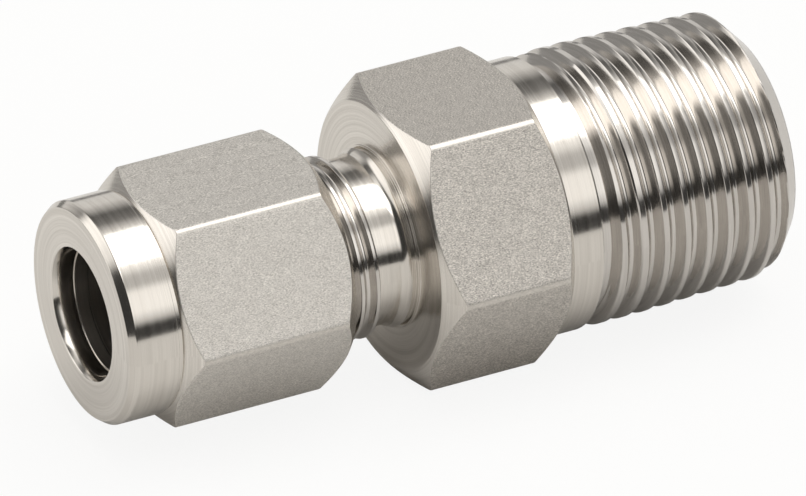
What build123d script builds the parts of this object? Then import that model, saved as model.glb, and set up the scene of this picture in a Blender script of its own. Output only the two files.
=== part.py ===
import math
import os

from build123d import *

os.makedirs("parts", exist_ok=True)

# Bored-through male connector: a twin-ferrule tube fitting with a male tapered pipe thread.
# The axis of the tube runs along X and the fitting lies on a hex flat, +Z up.
# The origin is on that axis, in the front face of the body hexagon. The nut is at -X.
# All sizes are in millimetres.

# Tube, and the bore that lets it pass right through
tube_diameter = 9.525
tube_clearance = 0.10

# Body hexagon
body_flats = 21.4
body_hex_length = 11.2
body_face_land = 0.30
hex_chamfer_angle = 35.0
corner_bevel = 0.26

# Male tapered pipe thread, 14 threads to the inch, taper 1 in 16 on the diameter
pipe_pitch = 25.4 / 14
pipe_taper = 1 / 16
pipe_end_diameter = 20.45
pipe_reach = 30.85
pipe_end_chamfer_length = 1.65
pipe_end_chamfer_depth = 1.85
pipe_crest_flat = 0.40
pipe_thread_depth = 0.90
pipe_root_rounding = 0.24
pipe_bore_chamfer = 0.40
collar_diameter = 21.2
collar_length = 2.30
runout_floor_width = 0.60
runout_groove_depth = 0.85
pipe_lead_in_turns = 1.172

# Male tube thread, 20 threads to the inch, on the stub that the nut screws on to
tube_pitch = 25.4 / 20
tube_thread_diameter = 14.2
tube_crest_flat = 0.26
tube_thread_depth = 0.60
tube_root_rounding = 0.10
stub_length = 14.6
stub_end_chamfer = 0.75
thread_flank_angle = 30.0

# Neck between the tube thread and the body hexagon
neck_length = 3.2
neck_diameter = 12.96
neck_shoulder_start = 1.40
neck_shoulder_end = 0.62
neck_shoulder_rise = 0.45
neck_groove_end = 0.20
neck_groove_depth = 0.20
face_ring_rise = 0.575

# Nut
nut_flats = 17.46
nut_length = 18.7
nut_gap = 6.0
nut_turn = 1.7
nut_face_land = 0.28
nut_rear_land = 0.35
nut_rear_chamfer_angle = 41.0
nose_diameter = 17.2
nose_length = 3.95
nose_chamfer_length = 0.57
nose_chamfer_depth = 0.42
nose_groove_width = 0.35
nose_groove_depth = 0.17
bore_mouth_length = 0.90
bore_mouth_flare = 0.24
counter_bore_length = 1.75
counter_bore_step = 0.10
nut_thread_clearance = 0.10
nut_thread_mouth = 0.60
nut_thread_overrun = 0.90
chamber_clearance = 0.20

# Ferrules, pushed home one against the other
front_ferrule_length = 5.9
front_ferrule_entry = 3.2
front_ferrule_tip_wall = 0.26
front_ferrule_cone_angle = 12.0
front_ferrule_flange_length = 1.6
front_ferrule_flange_step = 0.26
back_ferrule_wall = 0.79
back_ferrule_nose_length = 0.55
back_ferrule_hub_length = 1.05
back_ferrule_flange_length = 0.70
back_ferrule_flange_inset = 0.10
back_ferrule_rear_wall = 0.34
ferrule_edge = 0.12
ferrule_nose_clearance = 0.10
seat_clearance = 0.05

bore_radius = tube_diameter / 2 + tube_clearance
hex_chamfer_slope = math.tan(math.radians(hex_chamfer_angle))
nut_rear_slope = math.tan(math.radians(nut_rear_chamfer_angle))
flank_slope = math.tan(math.radians(thread_flank_angle))
cone_slope = math.tan(math.radians(front_ferrule_cone_angle))
seat_offset = seat_clearance * math.sqrt(2)


def thread_groove(start_x, start_radius, length, pitch, crest_flat, depth, rounding, cone_angle):
    # One right-hand helical groove that runs from start_x towards -X.
    # Its section is the V between the flanks of two turns, with a rounded root.
    overshoot = crest_flat / 2
    mouth = (pitch - crest_flat) / 2
    top = mouth + overshoot * flank_slope
    root = mouth - depth * flank_slope
    with BuildPart() as groove:
        with BuildLine() as path:
            Helix(
                pitch,
                length,
                start_radius,
                center=(start_x, 0, 0),
                direction=(-1, 0, 0),
                cone_angle=cone_angle,
            )
        start = path.line @ 0
        outward = Vector(0, start.Y, start.Z)
        with BuildSketch(Plane(origin=start, x_dir=outward, z_dir=path.line % 0)):
            with BuildLine():
                Polyline(
                    (overshoot, -top),
                    (-depth, -root),
                    (-depth, root),
                    (overshoot, top),
                    close=True,
                )
            make_face()
            fillet(vertices().group_by(Axis.X)[0], radius=rounding)
        sweep(path=path.line, is_frenet=True)
    return groove.part


# Stations of the ferrules along X and their radii, from the body's mouth towards the nut
stub_end = -stub_length
front_tip = stub_end + front_ferrule_entry
front_rear = front_tip - front_ferrule_length
front_flange_start = front_rear + front_ferrule_flange_length
front_tip_radius = bore_radius + front_ferrule_tip_wall
front_cone_radius = front_tip_radius + (front_tip - front_flange_start) * cone_slope
front_flange_radius = front_cone_radius + front_ferrule_flange_step
back_nose = front_rear + back_ferrule_nose_length
back_hub_radius = bore_radius + back_ferrule_wall
back_nose_radius = back_hub_radius - back_ferrule_nose_length
back_flange_start = front_rear - back_ferrule_hub_length
back_flange_end = back_flange_start - back_ferrule_flange_length
back_flange_radius = front_flange_radius - back_ferrule_flange_inset
back_rear_radius = bore_radius + back_ferrule_rear_wall
back_rear = back_flange_end - (back_flange_radius - back_rear_radius)
recess_bottom = back_nose + ferrule_nose_clearance
recess_radius = back_hub_radius + seat_offset

# Stations and radii of the connector body, from the stub's mouth to the pipe end
mouth_radius = front_tip_radius + front_ferrule_entry * cone_slope + seat_clearance
mouth_end = stub_end + (mouth_radius - bore_radius) / cone_slope
stub_radius = tube_thread_diameter / 2
neck_radius = neck_diameter / 2
shoulder_radius = neck_radius + neck_shoulder_rise
face_ring_radius = neck_radius + face_ring_rise
body_land_radius = body_flats / 2 - body_face_land
body_corner_radius = body_flats / math.sqrt(3)
body_cone_length = (body_corner_radius - body_land_radius) * hex_chamfer_slope
pipe_end_radius = pipe_end_diameter / 2
pipe_side_slope = pipe_taper / 2
pipe_large_radius = pipe_end_radius + (pipe_reach - body_hex_length) * pipe_side_slope
turning_radius = pipe_large_radius + runout_groove_depth
collar_radius = collar_diameter / 2
thread_start = body_hex_length + collar_length
runout_radius = collar_radius - runout_groove_depth
runout_slant = runout_groove_depth * flank_slope
runout_floor_start = thread_start + runout_slant
runout_floor_end = runout_floor_start + runout_floor_width
runout_reach = (turning_radius - runout_radius) * flank_slope
pipe_chamfer_start = pipe_reach - pipe_end_chamfer_length
pipe_chamfer_radius = pipe_end_radius + pipe_end_chamfer_length * pipe_side_slope
groove_start = pipe_reach + pipe_lead_in_turns * pipe_pitch

pipe_groove = thread_groove(
    groove_start,
    pipe_end_radius - (groove_start - pipe_reach) * pipe_side_slope,
    groove_start - (runout_floor_start + runout_floor_end) / 2,
    pipe_pitch,
    pipe_crest_flat,
    pipe_thread_depth,
    pipe_root_rounding,
    math.degrees(math.atan(pipe_side_slope)),
)

tube_groove = thread_groove(
    -neck_length + tube_pitch / 2,
    stub_radius,
    stub_length - neck_length + tube_pitch,
    tube_pitch,
    tube_crest_flat,
    tube_thread_depth,
    tube_root_rounding,
    0,
)

# Pipe end: a tapered blank that is cut with the thread, given its run-out groove,
# turned to the collar size and chamfered at the end
with BuildPart() as pipe_end:
    with BuildSketch(Plane.XZ):
        with BuildLine():
            Polyline(
                (body_hex_length, bore_radius),
                (body_hex_length, pipe_large_radius),
                (pipe_reach, pipe_end_radius),
                (pipe_reach, bore_radius),
                close=True,
            )
        make_face()
    revolve(axis=Axis.X)
    add(pipe_groove, mode=Mode.SUBTRACT)
    with BuildSketch(Plane.XZ):
        with BuildLine():
            Polyline(
                (runout_floor_start - runout_reach, turning_radius),
                (runout_floor_start, runout_radius),
                (runout_floor_end, runout_radius),
                (runout_floor_end + runout_reach, turning_radius),
                close=True,
            )
        make_face()
    revolve(axis=Axis.X, mode=Mode.SUBTRACT)
    with BuildSketch(Plane.XZ):
        with BuildLine():
            Polyline(
                (body_hex_length - collar_length, collar_radius),
                (pipe_chamfer_start, collar_radius),
                (pipe_chamfer_start, turning_radius),
                (body_hex_length - collar_length, turning_radius),
                close=True,
            )
        make_face()
    revolve(axis=Axis.X, mode=Mode.SUBTRACT)
    with BuildSketch(Plane.XZ):
        with BuildLine():
            Polyline(
                (pipe_chamfer_start, pipe_chamfer_radius),
                (pipe_chamfer_start, turning_radius),
                (pipe_reach + pipe_end_chamfer_length, turning_radius),
                (
                    pipe_reach + pipe_end_chamfer_length,
                    pipe_chamfer_radius - 2 * pipe_end_chamfer_depth,
                ),
                close=True,
            )
        make_face()
    revolve(axis=Axis.X, mode=Mode.SUBTRACT)

# Connector body: hexagonal bar turned to a threaded stub on one side, the pipe end on the other
with BuildPart() as connector_body:
    with BuildSketch(Plane.YZ):
        RegularPolygon(body_flats / 2, 6, major_radius=False)
    extrude(amount=body_hex_length)
    chamfer(edges().filter_by(Axis.X), length=corner_bevel)
    with BuildSketch(Plane.XZ):
        with BuildLine():
            Polyline(
                (0, 0),
                (0, body_land_radius),
                (body_cone_length, body_corner_radius),
                (body_hex_length - body_cone_length, body_corner_radius),
                (body_hex_length, body_land_radius),
                (body_hex_length, 0),
                close=True,
            )
        make_face()
    revolve(axis=Axis.X, mode=Mode.INTERSECT)

    # Stub for the tube thread, neck with its shoulder, groove and ring before the hex face
    with BuildSketch(Plane.XZ):
        with BuildLine():
            Polyline(
                (0, 0),
                (stub_end, 0),
                (stub_end, stub_radius - stub_end_chamfer),
                (stub_end + stub_end_chamfer, stub_radius),
                (-neck_length, stub_radius),
                (-neck_length, neck_radius),
                (-neck_shoulder_start, neck_radius),
            )
            TangentArc(
                (-neck_shoulder_start, neck_radius),
                (-neck_shoulder_end, shoulder_radius),
                tangent=(1, 0),
            )
            Polyline(
                (-neck_shoulder_end, shoulder_radius),
                (-neck_shoulder_end, shoulder_radius - neck_groove_depth),
                (-neck_groove_end, shoulder_radius - neck_groove_depth),
                (-neck_groove_end, face_ring_radius),
                (0, face_ring_radius),
                (0, 0),
            )
        make_face()
    revolve(axis=Axis.X)

    add(tube_groove, mode=Mode.SUBTRACT)
    add(pipe_end.part)

    # Bore right through for the tube, with the conical mouth that the front ferrule seats in
    with BuildSketch(Plane.XZ):
        with BuildLine():
            Polyline(
                (stub_end, 0),
                (stub_end, mouth_radius),
                (mouth_end, bore_radius),
                (pipe_reach - pipe_bore_chamfer, bore_radius),
                (pipe_reach, bore_radius + pipe_bore_chamfer),
                (pipe_reach, 0),
                close=True,
            )
        make_face()
    revolve(axis=Axis.X, mode=Mode.SUBTRACT)

connector_body.part.label = "connector_body"
export_step(connector_body.part, "parts/connector_body.step")

# Front ferrule: a cone that seats in the body's mouth, a flange and a recess for the back ferrule
with BuildPart() as front_ferrule:
    with BuildSketch(Plane.XZ):
        with BuildLine():
            Polyline(
                (front_tip, bore_radius),
                (front_tip, front_tip_radius),
                (front_flange_start, front_cone_radius),
                (front_flange_start, front_flange_radius - ferrule_edge),
                (front_flange_start - ferrule_edge, front_flange_radius),
                (front_rear + ferrule_edge, front_flange_radius),
                (front_rear, front_flange_radius - ferrule_edge),
                (front_rear, recess_radius),
                (recess_bottom, recess_radius - (recess_bottom - front_rear)),
                (recess_bottom, bore_radius),
                close=True,
            )
        make_face()
    revolve(axis=Axis.X)

front_ferrule.part.label = "front_ferrule"
export_step(front_ferrule.part, "parts/front_ferrule.step")

# Back ferrule: a nose cone in the front ferrule's recess, a hub, a flange and the rear cone
with BuildPart() as back_ferrule:
    with BuildSketch(Plane.XZ):
        with BuildLine():
            Polyline(
                (back_nose, bore_radius),
                (back_nose, back_nose_radius),
                (front_rear, back_hub_radius),
                (back_flange_start, back_hub_radius),
                (back_flange_start, back_flange_radius - ferrule_edge),
                (back_flange_start - ferrule_edge, back_flange_radius),
                (back_flange_end, back_flange_radius),
                (back_rear, back_rear_radius),
                (back_rear, bore_radius),
                close=True,
            )
        make_face()
    revolve(axis=Axis.X)

back_ferrule.part.label = "back_ferrule"
export_step(back_ferrule.part, "parts/back_ferrule.step")

# Stations and radii of the nut, from its nose towards the body
nut_rear = -nut_gap
nose_face = nut_rear - nut_length
nose_radius = nose_diameter / 2
nose_end = nose_face + nose_length
nose_chamfer_radius = nose_radius - nose_chamfer_depth
nut_hex_start = nose_end + nose_groove_width
nut_land_radius = nut_flats / 2 - nut_face_land
nut_rear_radius = nut_flats / 2 - nut_rear_land
nut_corner_radius = nut_flats / math.sqrt(3)
nut_cone_end = nut_hex_start + (nut_corner_radius - nut_land_radius) * hex_chamfer_slope
nut_rear_cone_start = nut_rear - (nut_corner_radius - nut_rear_radius) * nut_rear_slope
counter_bore_radius = bore_radius + counter_bore_step
counter_bore_end = nose_face + counter_bore_length
chamber_radius = front_flange_radius + chamber_clearance
seat_start = back_flange_end + (chamber_radius - back_flange_radius) - seat_offset
seat_end = seat_start - (chamber_radius - bore_radius)
nut_thread_radius = stub_radius + nut_thread_clearance
nut_thread_start = stub_end - nut_thread_overrun

# Nut: a hexagon with a round nose, bored for the tube and opened up for ferrules and thread
with BuildPart() as compression_nut:
    with BuildSketch(Plane.YZ.offset(nut_hex_start)):
        RegularPolygon(nut_flats / 2, 6, major_radius=False, rotation=nut_turn)
    extrude(amount=nut_rear - nut_hex_start)
    chamfer(edges().filter_by(Axis.X), length=corner_bevel)
    with BuildSketch(Plane.XZ):
        with BuildLine():
            Polyline(
                (nut_hex_start, 0),
                (nut_hex_start, nut_land_radius),
                (nut_cone_end, nut_corner_radius),
                (nut_rear_cone_start, nut_corner_radius),
                (nut_rear, nut_rear_radius),
                (nut_rear, 0),
                close=True,
            )
        make_face()
    revolve(axis=Axis.X, mode=Mode.INTERSECT)

    # Round nose with its chamfer, and the narrow groove where it meets the hexagon
    with BuildSketch(Plane.XZ):
        with BuildLine():
            Polyline(
                (nose_face, 0),
                (nose_face, nose_chamfer_radius),
                (nose_face + nose_chamfer_length, nose_radius),
                (nose_end, nose_radius),
                (nose_end, nose_radius - nose_groove_depth),
                (nut_hex_start, nose_radius - nose_groove_depth),
                (nut_hex_start, 0),
                close=True,
            )
        make_face()
    revolve(axis=Axis.X)

    # Bore with a flared mouth, seat for the back ferrule, ferrule chamber and thread bore
    with BuildSketch(Plane.XZ):
        with BuildLine():
            TangentArc(
                (nose_face + bore_mouth_length, counter_bore_radius),
                (nose_face, counter_bore_radius + bore_mouth_flare),
                tangent=(-1, 0),
            )
            Polyline(
                (nose_face, counter_bore_radius + bore_mouth_flare),
                (nose_face, 0),
                (nut_rear, 0),
                (nut_rear, nut_thread_radius + nut_thread_mouth),
                (nut_rear - nut_thread_mouth, nut_thread_radius),
                (nut_thread_start, nut_thread_radius),
                (nut_thread_start, chamber_radius),
                (seat_start, chamber_radius),
                (seat_end, bore_radius),
                (counter_bore_end, bore_radius),
                (counter_bore_end, counter_bore_radius),
                (nose_face + bore_mouth_length, counter_bore_radius),
            )
        make_face()
    revolve(axis=Axis.X, mode=Mode.SUBTRACT)

compression_nut.part.label = "compression_nut"
export_step(compression_nut.part, "parts/compression_nut.step")
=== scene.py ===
import math

import bmesh
import bpy
import numpy as np
from mathutils import Matrix


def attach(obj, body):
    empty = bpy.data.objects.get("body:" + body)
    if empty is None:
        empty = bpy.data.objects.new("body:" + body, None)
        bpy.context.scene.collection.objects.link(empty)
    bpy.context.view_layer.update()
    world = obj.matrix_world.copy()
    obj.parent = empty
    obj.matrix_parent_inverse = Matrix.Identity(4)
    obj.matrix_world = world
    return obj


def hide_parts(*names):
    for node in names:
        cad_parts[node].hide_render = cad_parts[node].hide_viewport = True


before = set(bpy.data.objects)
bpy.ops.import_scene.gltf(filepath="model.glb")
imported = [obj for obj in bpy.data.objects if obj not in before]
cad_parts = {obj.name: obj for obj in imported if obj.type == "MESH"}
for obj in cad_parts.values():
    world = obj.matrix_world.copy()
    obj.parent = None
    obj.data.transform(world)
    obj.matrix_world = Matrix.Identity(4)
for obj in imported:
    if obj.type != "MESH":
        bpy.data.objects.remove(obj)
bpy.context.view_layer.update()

print("frame loaded")

mm = 0.001
flankAngle = math.radians(30)  # both threads have a 60 degree V
ridgeRounding = 0.09  # mm, where a hexagon's flat meets the bevel on its ridge
weldDistance = 4e-7  # metres


# Surfaces from profiles

def smoothMin(a, b, width):
    # the smaller of a and b, with a parabola of that width where they cross
    h = np.clip(0.5 + 0.5 * (b - a) / width, 0, 1)
    return b + (a - b) * h - width * h * (1 - h)


def hexagonRadius(angle, flats, bevel, turn):
    # distance from the axis to a hexagon: apothem / cos(angle from the flat's middle),
    # cut off at each corner by a bevel plane that lies square to the corner's direction
    fromFlat = np.mod(angle - turn, math.pi / 3) - math.pi / 6
    flat = flats / 2 / np.cos(fromFlat)
    bevelPlane = flats / math.sqrt(3) - bevel / 2
    fromCorner = math.pi / 6 - np.abs(fromFlat)
    return smoothMin(flat, bevelPlane / np.cos(fromCorner), ridgeRounding)


def columnAngles(turn):
    # angles round the axis, close together at the six corners of a hexagon
    fromCorner = [0, 0.3, 0.6, 0.84, 0.96, 1.08, 1.25, 1.6, 2.5, 4.2, 6.2, 8.8, 11.8, 15, 18.4, 22, 26, 30]
    half = np.array(fromCorner)
    sector = np.concatenate([-half[:0:-1], half[:-1]])
    angles = (sector[None, :] + 60 * np.arange(6)[:, None]).ravel()
    return np.sort(np.mod(np.radians(angles) + turn, 2 * math.pi))


def roundedProfile(corners, sizes, steps=3, longest=0.3, guard=1.4):
    # corners: (columns, corners, 2) as x and radius. Each corner C is replaced by a quadratic curve
    # (1-t)^2 A + 2t(1-t) C + t^2 B between points A and B at its size before and after it, which is
    # at most the longest share of its shorter side. Two guard points keep the shading of the sides flat
    before = corners[:, :-2] - corners[:, 1:-1]
    after = corners[:, 2:] - corners[:, 1:-1]
    middle = corners[:, 1:-1]
    lengthBefore = np.maximum(np.linalg.norm(before, axis=2, keepdims=True), 1e-6)
    lengthAfter = np.maximum(np.linalg.norm(after, axis=2, keepdims=True), 1e-6)
    size = np.minimum(sizes[None, :, None], longest * np.minimum(lengthBefore, lengthAfter))
    before = before / lengthBefore
    after = after / lengthAfter
    t = np.linspace(0, 1, steps + 1)[None, None, :, None]
    a = (middle + before * size)[:, :, None]
    b = (middle + after * size)[:, :, None]
    curve = (1 - t) ** 2 * a + 2 * t * (1 - t) * middle[:, :, None] + t ** 2 * b
    guardA = (middle + before * size * guard)[:, :, None]
    guardB = (middle + after * size * guard)[:, :, None]
    points = np.concatenate([guardA, curve, guardB], axis=2)
    rows = points.reshape(len(corners), -1, 2)
    return np.concatenate([corners[:, :1], rows, corners[:, -1:]], axis=1), steps + 3


class Surface:
    # bands of a grid (columns round the axis, rows along a profile) that are welded into one mesh
    def __init__(self, angles):
        self.angles = angles
        self.points = []
        self.faces = []
        self.finish = []
        self.count = 0

    def addBand(self, x, radius, finish, shift=0):
        # finish: material index for each column and row gap. shift: rows that the seam jumps by
        columns, rows = x.shape
        angle = self.angles[:, None]
        # a point is (x, radius * cos(angle), radius * sin(angle))
        grid = np.stack([x, radius * np.cos(angle), radius * np.sin(angle)], axis=2)
        self.points.append(grid.reshape(-1, 3))
        i, j = np.meshgrid(np.arange(columns), np.arange(rows - 1), indexing="ij")
        nextColumn = (i + 1) % columns
        nextRow = j + np.where(i == columns - 1, shift, 0)
        good = (nextRow >= 0) & (nextRow + 1 <= rows - 1)
        quads = np.stack([
            i * rows + j,
            nextColumn * rows + nextRow,
            nextColumn * rows + nextRow + 1,
            i * rows + j + 1,
        ], axis=2)
        self.faces.append(quads[good] + self.count)
        self.finish.append(np.broadcast_to(finish, (columns, rows - 1))[good])
        self.count += columns * rows

    def addProfile(self, corners, sizes, finishes):
        # corners: list of (x, radius), numbers or one value per column. sizes: how far each inner
        # corner's rounding reaches. finishes: one per segment
        columns = len(self.angles)
        pairs = [[np.broadcast_to(x, columns), np.broadcast_to(radius, columns)] for x, radius in corners]
        grid = np.stack([np.stack(pair, axis=1) for pair in pairs], axis=1).astype(float)
        rows, per = roundedProfile(grid, np.array(sizes, float))
        gaps = [np.broadcast_to(finishes[0], (columns, 1))]
        for segment in finishes[1:]:
            gaps.append(np.broadcast_to(np.reshape(segment, (-1, 1)), (columns, per)))
        finish = np.concatenate(gaps, axis=1)
        self.addBand(rows[:, :, 0], rows[:, :, 1], finish)

    def addThread(self, thread, inward=False):
        # rows follow the helix x = x0 + pitch * angle / (2 pi), held between the thread's two ends
        pitch = thread["pitch"]
        turn = self.angles[:, None] / (2 * math.pi)
        places = thread["rows"]
        first = math.floor((thread["start"] - thread["crestAt"]) / pitch) - 2
        last = math.ceil((thread["end"] - thread["crestAt"]) / pitch) + 1
        rowX = (thread["crestAt"] + (np.arange(first, last)[:, None] + places[None, :]) * pitch).ravel()
        x = np.clip(rowX[None, :] + pitch * turn, thread["start"], thread["end"])
        radius = self.threadRadius(x, thread, inward)
        shift = len(places)
        if inward:
            x, radius, shift = x[:, ::-1], radius[:, ::-1], -shift
        self.addBand(x, radius, np.full((len(x), x.shape[1] - 1), thread["finish"]), shift)
        return radius

    def addRings(self, places, thread):
        # the same thread on plain rings, where it meets turned grooves and chamfers
        x = np.tile(places, (len(self.angles), 1))
        radius = self.threadRadius(x, thread, False)
        self.addBand(x, radius, np.full((len(x), x.shape[1] - 1), thread["finish"]))

    def threadRadius(self, x, thread, inward):
        # crest cone less the groove's depth, held within the turned outline
        turn = self.angles[:, None] / (2 * math.pi)
        phase = np.mod((x - thread["crestAt"]) / thread["pitch"] - turn, 1)
        outline = np.interp(x, *zip(*thread["outline"]))
        crest = thread["crest"] - thread["taper"] * x
        depth = grooveDepth(phase * thread["pitch"], thread) * (x > thread["cutFrom"])
        if inward:
            return np.maximum(outline, crest + depth)
        return np.minimum(outline, crest - depth)

    def build(self, name, materials, sharpAngle):
        points = np.concatenate(self.points) * mm
        faces = np.concatenate(self.faces)
        finish = np.concatenate(self.finish)
        mesh = bpy.data.meshes.new(name)
        mesh.vertices.add(len(points))
        mesh.vertices.foreach_set("co", points.ravel())
        mesh.loops.add(len(faces) * 4)
        mesh.loops.foreach_set("vertex_index", faces.ravel().astype(np.int32))
        mesh.polygons.add(len(faces))
        mesh.polygons.foreach_set("loop_start", np.arange(0, len(faces) * 4, 4, dtype=np.int32))
        for material in materials:
            mesh.materials.append(material)
        mesh.polygons.foreach_set("material_index", finish.astype(np.int32))
        mesh.update(calc_edges=True)
        weld = bmesh.new()
        weld.from_mesh(mesh)
        bmesh.ops.remove_doubles(weld, verts=weld.verts, dist=weldDistance)
        bmesh.ops.dissolve_degenerate(weld, dist=weldDistance / 2, edges=weld.edges)
        weld.to_mesh(mesh)
        openEdges = sum(1 for edge in weld.edges if not edge.is_manifold)
        triangles = sum(len(face.verts) - 2 for face in weld.faces)
        weld.free()
        mesh.polygons.foreach_set("use_smooth", np.ones(len(mesh.polygons), dtype=bool))
        mesh.set_sharp_from_angle(angle=math.radians(sharpAngle))
        piece = bpy.data.objects.new(name, mesh)
        bpy.context.scene.collection.objects.link(piece)
        print(name, triangles, "triangles,", openEdges, "open edges")
        return piece


def grooveDepth(phase, thread):
    # V between two flanks with a rounded root: flat, then an arc, then the straight flank,
    # measured from the crest's middle; the crest's edges are blended by smoothMin
    slope = math.tan(flankAngle)
    mouth = (thread["pitch"] - thread["crestFlat"]) / 2
    rootHalf = mouth - thread["depth"] * slope
    tangent = thread["rootRounding"] * slope
    arcStart = rootHalf - tangent
    arcEnd = rootHalf + tangent * math.sin(flankAngle)
    fromRoot = np.abs(phase - thread["pitch"] / 2)
    rise = np.sqrt(np.maximum(thread["rootRounding"] ** 2 - (fromRoot - arcStart) ** 2, 0))
    arc = thread["depth"] - thread["rootRounding"] + rise
    flank = (mouth - fromRoot) / slope
    depth = np.where(fromRoot < arcStart, thread["depth"], np.where(fromRoot < arcEnd, arc, flank))
    return -smoothMin(-depth, 0 * depth, thread["edge"])


def threadRows(thread, flankSteps, rootSteps):
    # where the rows lie within one pitch, as shares of it: crest, its edge, flank, root, and back.
    # Four rows lie on the crest's rounded edge, from 1.6 times its width outside it to as far inside
    slope = math.tan(flankAngle)
    pitch = thread["pitch"]
    mouth = (pitch - thread["crestFlat"]) / 2
    edge = thread["edge"] * slope
    root = mouth - thread["depth"] * slope + thread["rootRounding"] * slope / 2
    flank = np.linspace(mouth - 1.6 * edge, root, flankSteps)
    bottom = np.linspace(root, 0, rootSteps)[1:]
    half = np.concatenate([[mouth + 1.6 * edge, mouth + 0.6 * edge, mouth - 0.5 * edge], flank, bottom])
    rows = np.concatenate([pitch / 2 - half, pitch / 2 + half[-2::-1]]) / pitch
    return np.concatenate([[0], rows])


print("tools ready")


# Finishes

def newMaterial(name):
    material = bpy.data.materials.new(name)
    material.use_nodes = True
    nodes = material.node_tree.nodes
    return material, nodes, material.node_tree.links, nodes["Principled BSDF"]


def mathNode(nodes, links, operation, a, b=None, c=None):
    node = nodes.new("ShaderNodeMath")
    node.operation = operation
    for socket, value in zip(node.inputs, (a, b, c)):
        if value is None:
            continue
        if isinstance(value, (int, float)):
            socket.default_value = value
        else:
            links.new(value, socket)
    return node.outputs[0]


def mapRange(nodes, links, value, low, high, toLow, toHigh):
    node = nodes.new("ShaderNodeMapRange")
    node.inputs["From Min"].default_value = low
    node.inputs["From Max"].default_value = high
    node.inputs["To Min"].default_value = toLow
    node.inputs["To Max"].default_value = toHigh
    links.new(value, node.inputs["Value"])
    return node.outputs[0]


marksRound = 0.00004  # how far the turned pattern moves in a radian round the axis
noiseSpan = (0.3, 0.7)  # noise values where the dark and the light colour are full


def steel(name, look):
    # stainless steel: metal with a slightly warm colour, tool marks or bar grain as bump,
    # and roughness that wanders a little with them
    material, nodes, links, shader = newMaterial(name)
    place = nodes.new("ShaderNodeTexCoord").outputs["Object"]
    split = nodes.new("ShaderNodeSeparateXYZ")
    links.new(place, split.inputs[0])
    x, y, z = split.outputs
    ring = mathNode(nodes, links, "SQRT", mathNode(
        nodes, links, "ADD",
        mathNode(nodes, links, "MULTIPLY", y, y),
        mathNode(nodes, links, "MULTIPLY", z, z),
    ))
    marks = nodes.new("ShaderNodeCombineXYZ")
    if look["marks"] == "turned":
        links.new(x, marks.inputs[0])
        links.new(ring, marks.inputs[1])
        angle = mathNode(nodes, links, "ARCTAN2", z, y)
        links.new(mathNode(nodes, links, "MULTIPLY", angle, marksRound), marks.inputs[2])
        tangentVector = nodes.new("ShaderNodeCombineXYZ")
        links.new(mathNode(nodes, links, "MULTIPLY", z, -1), tangentVector.inputs[1])
        links.new(y, tangentVector.inputs[2])
    else:
        links.new(mathNode(nodes, links, "MULTIPLY", x, look["stretch"]), marks.inputs[0])
        links.new(y, marks.inputs[1])
        links.new(z, marks.inputs[2])
        tangentVector = nodes.new("ShaderNodeCombineXYZ")
        tangentVector.inputs[0].default_value = 1
    turnToWorld = nodes.new("ShaderNodeVectorTransform")
    turnToWorld.vector_type = "VECTOR"
    turnToWorld.convert_from = "OBJECT"
    turnToWorld.convert_to = "WORLD"
    links.new(tangentVector.outputs[0], turnToWorld.inputs[0])
    links.new(turnToWorld.outputs[0], shader.inputs["Tangent"])

    grain = nodes.new("ShaderNodeTexNoise")
    grain.inputs["Scale"].default_value = look["grainScale"]
    grain.inputs["Detail"].default_value = 3
    links.new(marks.outputs[0], grain.inputs["Vector"])
    cloud = nodes.new("ShaderNodeTexNoise")
    cloud.inputs["Scale"].default_value = look["cloudScale"]
    cloud.inputs["Detail"].default_value = 2
    links.new(marks.outputs[0] if look["marks"] == "turned" else place, cloud.inputs["Vector"])

    tone = nodes.new("ShaderNodeMix")
    tone.data_type = "RGBA"
    tone.inputs["A"].default_value = (*look["darkColour"], 1)
    tone.inputs["B"].default_value = (*look["lightColour"], 1)
    amount = mathNode(nodes, links, "MULTIPLY_ADD", grain.outputs["Fac"], look["grainShare"],
                      mathNode(nodes, links, "MULTIPLY", cloud.outputs["Fac"], 1 - look["grainShare"]))
    links.new(mapRange(nodes, links, amount, *noiseSpan, 0, 1), tone.inputs["Factor"])
    links.new(tone.outputs["Result"], shader.inputs["Base Color"])
    rough = mapRange(nodes, links, amount, *noiseSpan, look["roughness"] - look["roughnessSpread"],
                     look["roughness"] + look["roughnessSpread"])
    links.new(rough, shader.inputs["Roughness"])
    bump = nodes.new("ShaderNodeBump")
    bump.inputs["Strength"].default_value = look["bump"]
    bump.inputs["Distance"].default_value = look["bumpHeight"]
    clouds = mathNode(nodes, links, "MULTIPLY", cloud.outputs["Fac"], look["cloudBump"])
    links.new(mathNode(nodes, links, "ADD", clouds, grain.outputs["Fac"]), bump.inputs["Height"])
    links.new(bump.outputs["Normal"], shader.inputs["Normal"])
    shader.inputs["Metallic"].default_value = 1
    shader.inputs["Anisotropic"].default_value = look["anisotropy"]
    shader.inputs["Anisotropic Rotation"].default_value = 0.25  # a quarter turn: highlights cross the marks
    return material


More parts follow.
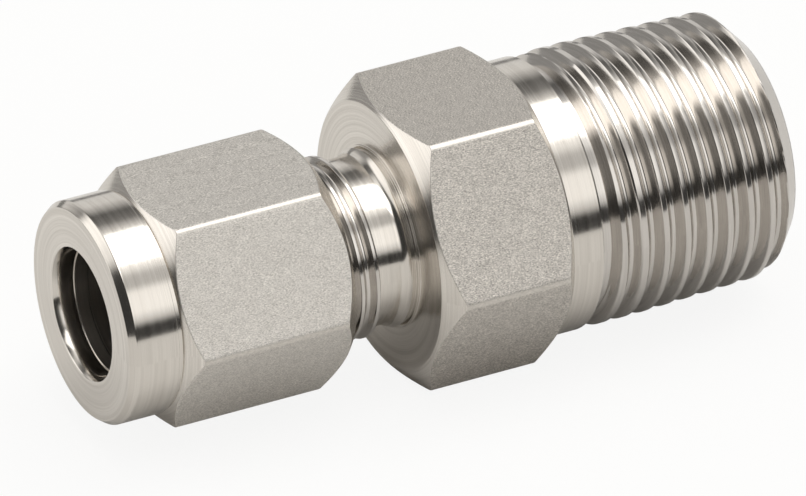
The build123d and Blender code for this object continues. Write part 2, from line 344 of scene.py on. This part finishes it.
turnedLook = dict(
    marks="turned", grainScale=9000, cloudScale=2200, grainShare=0.6, cloudBump=1.2,
    darkColour=(0.59, 0.555, 0.51), lightColour=(0.73, 0.695, 0.645),
    roughness=0.16, roughnessSpread=0.04, bump=0.25, bumpHeight=0.0000015, anisotropy=0.55,
)
facedLook = dict(turnedLook, roughness=0.22, bump=0.6, anisotropy=0.75, cloudScale=2600, cloudBump=3.5,
                 darkColour=(0.56, 0.525, 0.48), lightColour=(0.82, 0.785, 0.735))
threadLook = dict(turnedLook, roughness=0.14, anisotropy=0.4, bump=0.18, darkColour=(0.53, 0.505, 0.475),
                  lightColour=(0.67, 0.64, 0.605))
barLook = dict(
    marks="bar", stretch=0.35, grainScale=20000, cloudScale=1500, grainShare=0.9, cloudBump=0.3,
    darkColour=(0.21, 0.193, 0.178), lightColour=(0.99, 0.945, 0.88),
    roughness=0.42, roughnessSpread=0.08, bump=1.0, bumpHeight=0.000008, anisotropy=0.35,
)
nutBarLook = dict(barLook, darkColour=(0.39, 0.367, 0.338), lightColour=(1, 0.965, 0.91))
bevelLook = dict(barLook, stretch=0.25, darkColour=(0.5, 0.47, 0.43), lightColour=(0.75, 0.715, 0.665),
                 roughness=0.38, bump=0.5, anisotropy=0.3)
# inner bores, seat and chamber: rougher than turned steel, with colours darkened as painted shade inside the
# hollows
boreShadedLook = dict(turnedLook, roughness=0.3, darkColour=(0.42, 0.395, 0.36), lightColour=(0.52, 0.49, 0.45))

# a finish's place in each piece's list of materials
turned, faced, threaded, bar, bevel, boredShaded, nutBar = range(7)
finishes = [
    steel("turnedSteel", turnedLook),
    steel("facedSteel", facedLook),
    steel("threadSteel", threadLook),
    steel("barSteel", barLook),
    steel("bevelSteel", bevelLook),
    steel("boredSteelPaintedShade", boreShadedLook),
    steel("nutBarSteel", nutBarLook),
]
print("finishes ready")


# Connector body

# x runs along the axis from the body hexagon's nut side, in mm, like every size here
bodySizes = dict(
    flats=21.4, bevel=0.24, hexLength=11.2, faceLand=0.30, coneSlope=math.tan(math.radians(35)),
    bore=4.8625, mouth=5.8527, mouthEnd=-9.9415, stubEnd=-14.6, stubRadius=7.1, stubChamfer=0.75,
    neckStart=-3.2, neckRadius=6.48, shoulderStart=-1.4, shoulderEnd=-0.62, shoulderRadius=6.93,
    shoulderBend=math.radians(58), grooveRadius=6.73, grooveEnd=-0.2, ringRadius=7.055,
    collarRadius=10.6, threadStart=13.5, pipeReach=30.85, pipeEndRadius=10.225, pipeFaceRadius=8.4266,
    boreChamfer=0.4, sharpAngle=52,
)
pipePitch = 25.4 / 14
pipeTaper = 1 / 32  # loss of radius along the axis
# crestAt: where a crest's middle passes angle 0; outline: (x, radius) of the turned blank.
# The helical rows run from start to end, and plain rings take over at the run-out and the chamfer
pipeThread = dict(
    pitch=pipePitch, crestAt=bodySizes["pipeReach"] + (1.172 - 0.25) * pipePitch, start=15.3, end=29.1,
    crest=bodySizes["pipeEndRadius"] + bodySizes["pipeReach"] * pipeTaper, taper=pipeTaper,
    crestFlat=0.40, depth=0.90, rootRounding=0.24, edge=0.05, cutFrom=14.29, finish=threaded,
    outline=[
        (bodySizes["threadStart"], bodySizes["collarRadius"]), (13.9907, 9.75), (14.5907, 9.75),
        (15.0815, 10.6), (18.85, 10.6), (29.2, 10.2766),
        (bodySizes["pipeReach"], bodySizes["pipeFaceRadius"]),
    ],
    runOutRings=np.concatenate([
        [13.5, 13.7, 13.85, 13.9907, 14.3, 14.5907], np.linspace(14.63, 15.0815, 11), [15.14, 15.22, 15.3],
    ]),
    chamferRings=np.concatenate([[29.1, 29.15], np.linspace(29.2, 30.3, 23), [30.4, 30.6, 30.85]]),
)
tubePitch = 1.27
tubeThread = dict(
    pitch=tubePitch, crestAt=-2.565 - tubePitch / 4, start=-14.6, end=-3.2, crest=7.1, taper=0,
    crestFlat=0.26, depth=0.60, rootRounding=0.10, edge=0.03, cutFrom=-20, finish=threaded,
    outline=[(-14.6, 6.35), (-13.85, 7.1), (-3.2, 7.1)],
)


def hexCorners(angles, sizes, turn, flatFinish):
    # radius of the hexagon in each column, and how far its end cones reach along the bar
    radius = hexagonRadius(angles, sizes["flats"], sizes["bevel"], turn)
    reach = (radius - (sizes["flats"] / 2 - sizes["faceLand"])) * sizes["coneSlope"]
    fromFlat = np.mod(angles - turn, math.pi / 3) - math.pi / 6
    fromCorner = (math.pi / 6 - np.abs(fromFlat)) * sizes["flats"] / math.sqrt(3)
    bevelHalf = sizes["bevel"] * math.cos(math.pi / 6)
    return radius, reach, np.where(fromCorner < bevelHalf, bevel, flatFinish)


def connectorBody():
    s = bodySizes
    angles = columnAngles(turn=0)
    surface = Surface(angles)
    tubeThread["rows"] = threadRows(tubeThread, flankSteps=4, rootSteps=3)
    pipeThread["rows"] = threadRows(pipeThread, flankSteps=4, rootSteps=5)
    tubeRadius = surface.addThread(tubeThread)
    surface.addRings(pipeThread["runOutRings"], pipeThread)
    surface.addThread(pipeThread)
    surface.addRings(pipeThread["chamferRings"], pipeThread)
    radius, reach, hexFinish = hexCorners(angles, s, 0, bar)
    land = s["flats"] / 2 - s["faceLand"]
    # end face, bore, mouth and the stub's face
    surface.addProfile(
        [
            (s["pipeReach"], s["pipeFaceRadius"]), (s["pipeReach"], s["bore"] + s["boreChamfer"]),
            (s["pipeReach"] - s["boreChamfer"], s["bore"]), (s["mouthEnd"], s["bore"]),
            (s["stubEnd"], s["mouth"]), (s["stubEnd"], s["stubRadius"] - s["stubChamfer"]),
        ],
        [0.05, 0.05, 0.05, 0.04],
        [faced, faced, boredShaded, boredShaded, faced],
    )
    # neck, shoulder, groove and ring, the hexagon, then the collar. The shoulder is an arc stretched
    # to its length and height: x follows sin(bend) and radius follows 1 - cos(bend)
    bend = np.linspace(0, s["shoulderBend"], 6)
    along = np.sin(bend) / math.sin(bend[-1])
    up = (1 - np.cos(bend)) / (1 - math.cos(bend[-1]))
    shoulderX = s["shoulderStart"] + (s["shoulderEnd"] - s["shoulderStart"]) * along
    shoulderRadius = s["neckRadius"] + (s["shoulderRadius"] - s["neckRadius"]) * up
    collarMeets = s["hexLength"] - (s["collarRadius"] - land) * s["coneSlope"]
    corners = [(s["neckStart"], tubeRadius[:, -1]), (s["neckStart"], s["neckRadius"])]
    corners += list(zip(shoulderX, shoulderRadius))
    corners += [
        (s["shoulderEnd"], s["grooveRadius"]), (s["grooveEnd"], s["grooveRadius"]),
        (s["grooveEnd"], s["ringRadius"]), (0, s["ringRadius"]), (0, land),
        (reach, radius), (s["hexLength"] - reach, radius),
        (collarMeets, s["collarRadius"]), (s["threadStart"], s["collarRadius"]),
    ]
    segments = [turned] * 11 + [faced, faced, hexFinish, faced, turned]
    sizes = [0.04] + [0.0] * 5 + [0.03, 0.03, 0.03, 0.03, 0.04, 0.05, 0.04, 0.04, 0.04]
    surface.addProfile(corners, sizes, segments)
    piece = surface.build("connectorBodySteel", finishes, s["sharpAngle"])
    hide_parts("connector_body")
    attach(piece, "connector")


connectorBody()


# Nut

# turn: how far the nut's flats stand off the body's, as in the photo
nutSizes = dict(
    flats=17.46, turn=math.radians(1.7), bevel=0.2, faceLand=0.28, rearLand=0.35,
    coneSlope=math.tan(math.radians(35)), rearSlope=math.tan(math.radians(41)),
    noseFace=-24.7, noseRadius=8.6, noseChamferLength=0.57, noseChamferDepth=0.42, noseEnd=-20.75,
    grooveWidth=0.35, grooveDepth=0.17, rear=-6.0, bore=4.8625, counterBore=4.9625, counterBoreEnd=-22.95,
    mouth=5.2025, mouthLength=0.9, chamber=6.4966, seatStart=-18.8253,
    threadRadius=7.2, threadStart=-15.5, threadMouth=0.6, sharpAngle=52,
)
nutThread = dict(
    pitch=tubePitch, crestAt=-15.5, start=-15.5, end=-6.6, crest=7.2, taper=0,
    crestFlat=0.30, depth=0.45, rootRounding=0.10, edge=0.03, cutFrom=-15.4, finish=threaded,
    outline=[(-15.5, 7.2), (-6.6, 7.2)],
)


def compressionNut():
    s = nutSizes
    angles = columnAngles(s["turn"])
    surface = Surface(angles)
    nutThread["rows"] = threadRows(nutThread, flankSteps=4, rootSteps=4)
    threadRadius = surface.addThread(nutThread, inward=True)
    radius, reach, hexFinish = hexCorners(angles, s, s["turn"], nutBar)
    rearReach = (radius - (s["flats"] / 2 - s["rearLand"])) * s["rearSlope"]
    hexStart = s["noseEnd"] + s["grooveWidth"]
    # the bore's mouth opens as a parabola: its radius grows with the square of the way out
    flare = np.linspace(0, 1, 6)
    mouthX = s["noseFace"] + s["mouthLength"] * (1 - flare)
    mouthRadius = s["counterBore"] + (s["mouth"] - s["counterBore"]) * flare ** 2
    seatEnd = s["seatStart"] - (s["chamber"] - s["bore"])
    # from the thread inwards: chamber, 45 degree seat, tube bore, counter bore and its mouth
    corners = [
        (s["threadStart"], threadRadius[:, -1]), (s["threadStart"], s["chamber"]),
        (s["seatStart"], s["chamber"]), (seatEnd, s["bore"]),
        (s["counterBoreEnd"], s["bore"]), (s["counterBoreEnd"], s["counterBore"]),
    ]
    corners += list(zip(mouthX, mouthRadius))
    # then outside: nose, groove, hexagon and rear face, back to the thread
    corners += [
        (s["noseFace"], s["noseRadius"] - s["noseChamferDepth"]),
        (s["noseFace"] + s["noseChamferLength"], s["noseRadius"]), (s["noseEnd"], s["noseRadius"]),
        (s["noseEnd"], s["noseRadius"] - s["grooveDepth"]), (hexStart, s["noseRadius"] - s["grooveDepth"]),
        (hexStart + 0 * radius, s["flats"] / 2 - s["faceLand"]), (hexStart + reach, radius),
        (s["rear"] - rearReach, radius), (s["rear"], s["flats"] / 2 - s["rearLand"]),
        (s["rear"], s["threadRadius"] + s["threadMouth"]), (s["rear"] - s["threadMouth"], threadRadius[:, 0]),
    ]
    # the deep inner surfaces take the bore finish, whose darker colour is painted shade
    segments = [boredShaded] * 4 + [faced] + [turned] * 6
    segments += [faced, turned, turned, faced, turned, faced, faced, hexFinish, faced, faced, faced]
    sizes = [0.04, 0.1, 0.04, 0.02, 0.02] + [0.0] * 5
    sizes += [0.08, 0.05, 0.06, 0.03, 0.02, 0.02, 0.02] + [0.05] * 4
    surface.addProfile(corners, sizes, segments)
    piece = surface.build("compressionNutSteel", finishes, s["sharpAngle"])
    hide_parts("compression_nut")
    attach(piece, "nut")


compressionNut()


# Ferrules

# front, back: (x, radius) of the corners round each ferrule's section, from a point on its bore
ferruleSizes = dict(
    columns=144, rounding=0.03, sharpAngle=35,
    front=[
        (-14, 4.8625), (-16.65, 4.8625), (-16.65, 5.0732), (-17.3, 5.7232), (-17.3, 6.1766), (-17.18, 6.2966),
        (-15.82, 6.2966), (-15.7, 6.1766), (-15.7, 6.0366), (-11.4, 5.1225), (-11.4, 4.8625),
    ],
    back=[
        (-18, 4.8625), (-20.0441, 4.8625), (-20.0441, 5.2025), (-19.05, 6.1966), (-18.47, 6.1966),
        (-18.35, 6.0766), (-18.35, 5.6525), (-17.3, 5.6525), (-16.75, 5.1025), (-16.75, 4.8625),
    ],
)


def ferrule(name, node, corners):
    # the section turned round the axis; it starts and ends at one point, so the surface closes
    s = ferruleSizes
    surface = Surface(np.linspace(0, 2 * math.pi, s["columns"], endpoint=False))
    surface.addProfile(corners + corners[:1], [s["rounding"]] * (len(corners) - 1), [turned] * len(corners))
    piece = surface.build(name, finishes, s["sharpAngle"])
    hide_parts(node)
    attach(piece, "ferrules")


ferrule("frontFerruleSteel", "front_ferrule", ferruleSizes["front"])
ferrule("backFerruleSteel", "back_ferrule", ferruleSizes["back"])
print("pieces ready")


# Floor, light and camera

# strips: (angle in degrees from the front horizon over the top, level), seen by the cylinders;
# rightStrips: the same towards the pipe end, seen by the thread's flanks; left: (place from front to
# back, level) towards the nut, seen by the nose face
studio = dict(
    floorLow=-0.0107, floorSize=0.25, floorColour=(0.77, 0.765, 0.755),
    glowColour=(1.01, 1.01, 1.005), glowShare=0.88,
    lightColour=(1, 0.985, 0.96), brightest=1.6,
    strips=[
        (-30, 0.25), (-8, 0.05), (7, 0.05), (13, 0.9), (22, 1.45), (41, 1.42), (48, 0.7), (58, 0.7),
        (66, 1.3), (100, 1.4), (112, 0.95), (124, 0.22), (138, 0.12), (147, 0.5), (158, 0.85), (179, 0.8),
    ],
    rightStrips=[
        (-30, 0.25), (-8, 0.04), (12, 0.04), (24, 0.32), (40, 0.36), (72, 0.28), (77, 1.55), (104, 1.55),
        (114, 0.6), (130, 0.55), (158, 0.7), (179, 0.8),
    ],
    left=[(0.0, 0.05), (0.45, 0.06), (0.62, 0.10), (0.80, 0.33), (1.0, 0.36)],
    rightFrom=(0.42, 0.52), leftFrom=(-0.1, -0.35), leftSpan=(-0.45, 0.5),
    softboxWay=(-0.742, 0.381, 0.551), softboxEdge=(0.83, 0.91), softboxLevel=1.2,
    lampPlace=(0.1, -0.15, 0.9), lampSize=(1.2, 0.5), lampPower=3.2, lampColour=(1, 0.99, 0.97),
)
# the camera's right, up and back ways, found from the photo's perspective
photoView = dict(
    place=(-0.461419, -0.923432, 0.630194), lens=721.785, sensor=36, nearest=0.01,
    right=(0.893038, -0.449974, -0.002582), up=(0.236721, 0.464911, 0.853125),
    back=(-0.382683, -0.762484, 0.521701),
)


def floorMaterial():
    # a matte floor for the light and the shadow, mixed for the camera with a glow that makes it white
    material, nodes, links, shader = newMaterial("paleFloor")
    nodes.remove(shader)
    out = nodes["Material Output"]
    matte = nodes.new("ShaderNodeBsdfDiffuse")
    matte.inputs["Color"].default_value = (*studio["floorColour"], 1)
    glow = nodes.new("ShaderNodeEmission")
    glow.inputs["Color"].default_value = (*studio["glowColour"], 1)
    path = nodes.new("ShaderNodeLightPath")
    mix = nodes.new("ShaderNodeMixShader")
    share = mathNode(nodes, links, "MULTIPLY", path.outputs["Is Camera Ray"], studio["glowShare"])
    links.new(share, mix.inputs[0])
    links.new(matte.outputs[0], mix.inputs[1])
    links.new(glow.outputs[0], mix.inputs[2])
    links.new(mix.outputs[0], out.inputs["Surface"])
    return material


bpy.ops.mesh.primitive_plane_add(size=studio["floorSize"], location=(0, 0, studio["floorLow"]))
floor = bpy.context.object
floor.name = "studioFloor"
floor.data.materials.append(floorMaterial())


def studioWorld():
    # light from all round, by direction: strips that lie along the fitting, by the angle from the front
    # horizon over the top to the back; a dim room to the left, dark in front; a soft round light back left
    world = bpy.data.worlds.new("studioWorld")
    bpy.context.scene.world = world
    world.use_nodes = True
    nodes, links = world.node_tree.nodes, world.node_tree.links
    direction = nodes.new("ShaderNodeTexCoord").outputs["Generated"]
    split = nodes.new("ShaderNodeSeparateXYZ")
    links.new(direction, split.inputs[0])
    x, y, z = split.outputs
    around = mathNode(nodes, links, "ARCTAN2", z, mathNode(nodes, links, "MULTIPLY", y, -1))
    share = mathNode(nodes, links, "MULTIPLY_ADD", around, 0.5 / math.pi, 0.5)
    strips = stripLevels(nodes, links, share, studio["strips"])
    rightStrips = stripLevels(nodes, links, share, studio["rightStrips"])
    strips = blend(nodes, links, mapRange(nodes, links, x, *studio["rightFrom"], 0, 1), strips, rightStrips)
    left = levelRamp(nodes, links, mapRange(nodes, links, y, *studio["leftSpan"], 0, 1), studio["left"])
    softbox = nodes.new("ShaderNodeVectorMath")
    softbox.operation = "DOT_PRODUCT"
    softbox.inputs[1].default_value = studio["softboxWay"]
    links.new(direction, softbox.inputs[0])
    glow = mapRange(nodes, links, softbox.outputs["Value"], *studio["softboxEdge"], 0, studio["softboxLevel"])
    left = mathNode(nodes, links, "ADD", left, glow)
    level = blend(nodes, links, mapRange(nodes, links, x, *studio["leftFrom"], 0, 1), strips, left)
    background = nodes["Background"]
    background.inputs["Color"].default_value = (*studio["lightColour"], 1)
    links.new(level, background.inputs["Strength"])
    # the camera itself sees plain white
    white = nodes.new("ShaderNodeBackground")
    white.inputs["Color"].default_value = (1, 1, 1, 1)
    path = nodes.new("ShaderNodeLightPath")
    pick = nodes.new("ShaderNodeMixShader")
    links.new(path.outputs["Is Camera Ray"], pick.inputs[0])
    links.new(background.outputs[0], pick.inputs[1])
    links.new(white.outputs[0], pick.inputs[2])
    links.new(pick.outputs[0], nodes["World Output"].inputs["Surface"])


def blend(nodes, links, share, a, b):
    mix = nodes.new("ShaderNodeMix")
    links.new(share, mix.inputs["Factor"])
    links.new(a, mix.inputs["A"])
    links.new(b, mix.inputs["B"])
    return mix.outputs["Result"]


def levelRamp(nodes, links, value, stops):
    # a ramp of grey levels; its stops are made first, then placed, then given their level
    node = nodes.new("ShaderNodeValToRGB")
    elements = node.color_ramp.elements
    while len(elements) < len(stops):
        elements.new(0.5)
    for element, stop in zip(elements, stops):
        element.position = stop[0]
    for element, stop in zip(elements, stops):
        element.color = (stop[1], stop[1], stop[1], 1)
    links.new(value, node.inputs[0])
    return node.outputs[0]


def stripLevels(nodes, links, share, strips):
    # a ramp holds no level above 1, so the levels are divided by the brightest and multiplied after it
    top = studio["brightest"]
    ramp = levelRamp(nodes, links, share, [(angle / 360 + 0.5, level / top) for angle, level in strips])
    return mathNode(nodes, links, "MULTIPLY", ramp, top)


studioWorld()


def turnTo(right, up, back):
    # rotation whose own x, y and z axes point in the three given ways
    return Matrix(np.stack([right, up, back], axis=1).tolist()).to_euler()


def overheadSoftbox():
    # a wide lamp over the fitting, aimed at its middle
    lamp = bpy.data.lights.new("overheadSoftbox", "AREA")
    lamp.shape = "RECTANGLE"
    lamp.size, lamp.size_y = studio["lampSize"]
    lamp.energy = studio["lampPower"]
    lamp.color = studio["lampColour"]
    softbox = bpy.data.objects.new("overheadSoftbox", lamp)
    bpy.context.scene.collection.objects.link(softbox)
    softbox.location = studio["lampPlace"]
    ahead = -np.array(studio["lampPlace"])
    ahead = ahead / np.linalg.norm(ahead)
    side = np.cross(ahead, (0, 0, 1))
    side = side / np.linalg.norm(side)
    softbox.rotation_euler = turnTo(side, np.cross(side, ahead), -ahead)


overheadSoftbox()

camera = bpy.data.objects.new("photoCamera", bpy.data.cameras.new("photoCamera"))
bpy.context.scene.collection.objects.link(camera)
camera.data.lens = photoView["lens"]
camera.data.sensor_width = photoView["sensor"]
camera.data.clip_start = photoView["nearest"]
camera.location = photoView["place"]
camera.rotation_euler = turnTo(photoView["right"], photoView["up"], photoView["back"])
bpy.context.scene.camera = camera
bpy.context.scene.view_settings.view_transform = "Standard"
print("studio ready")
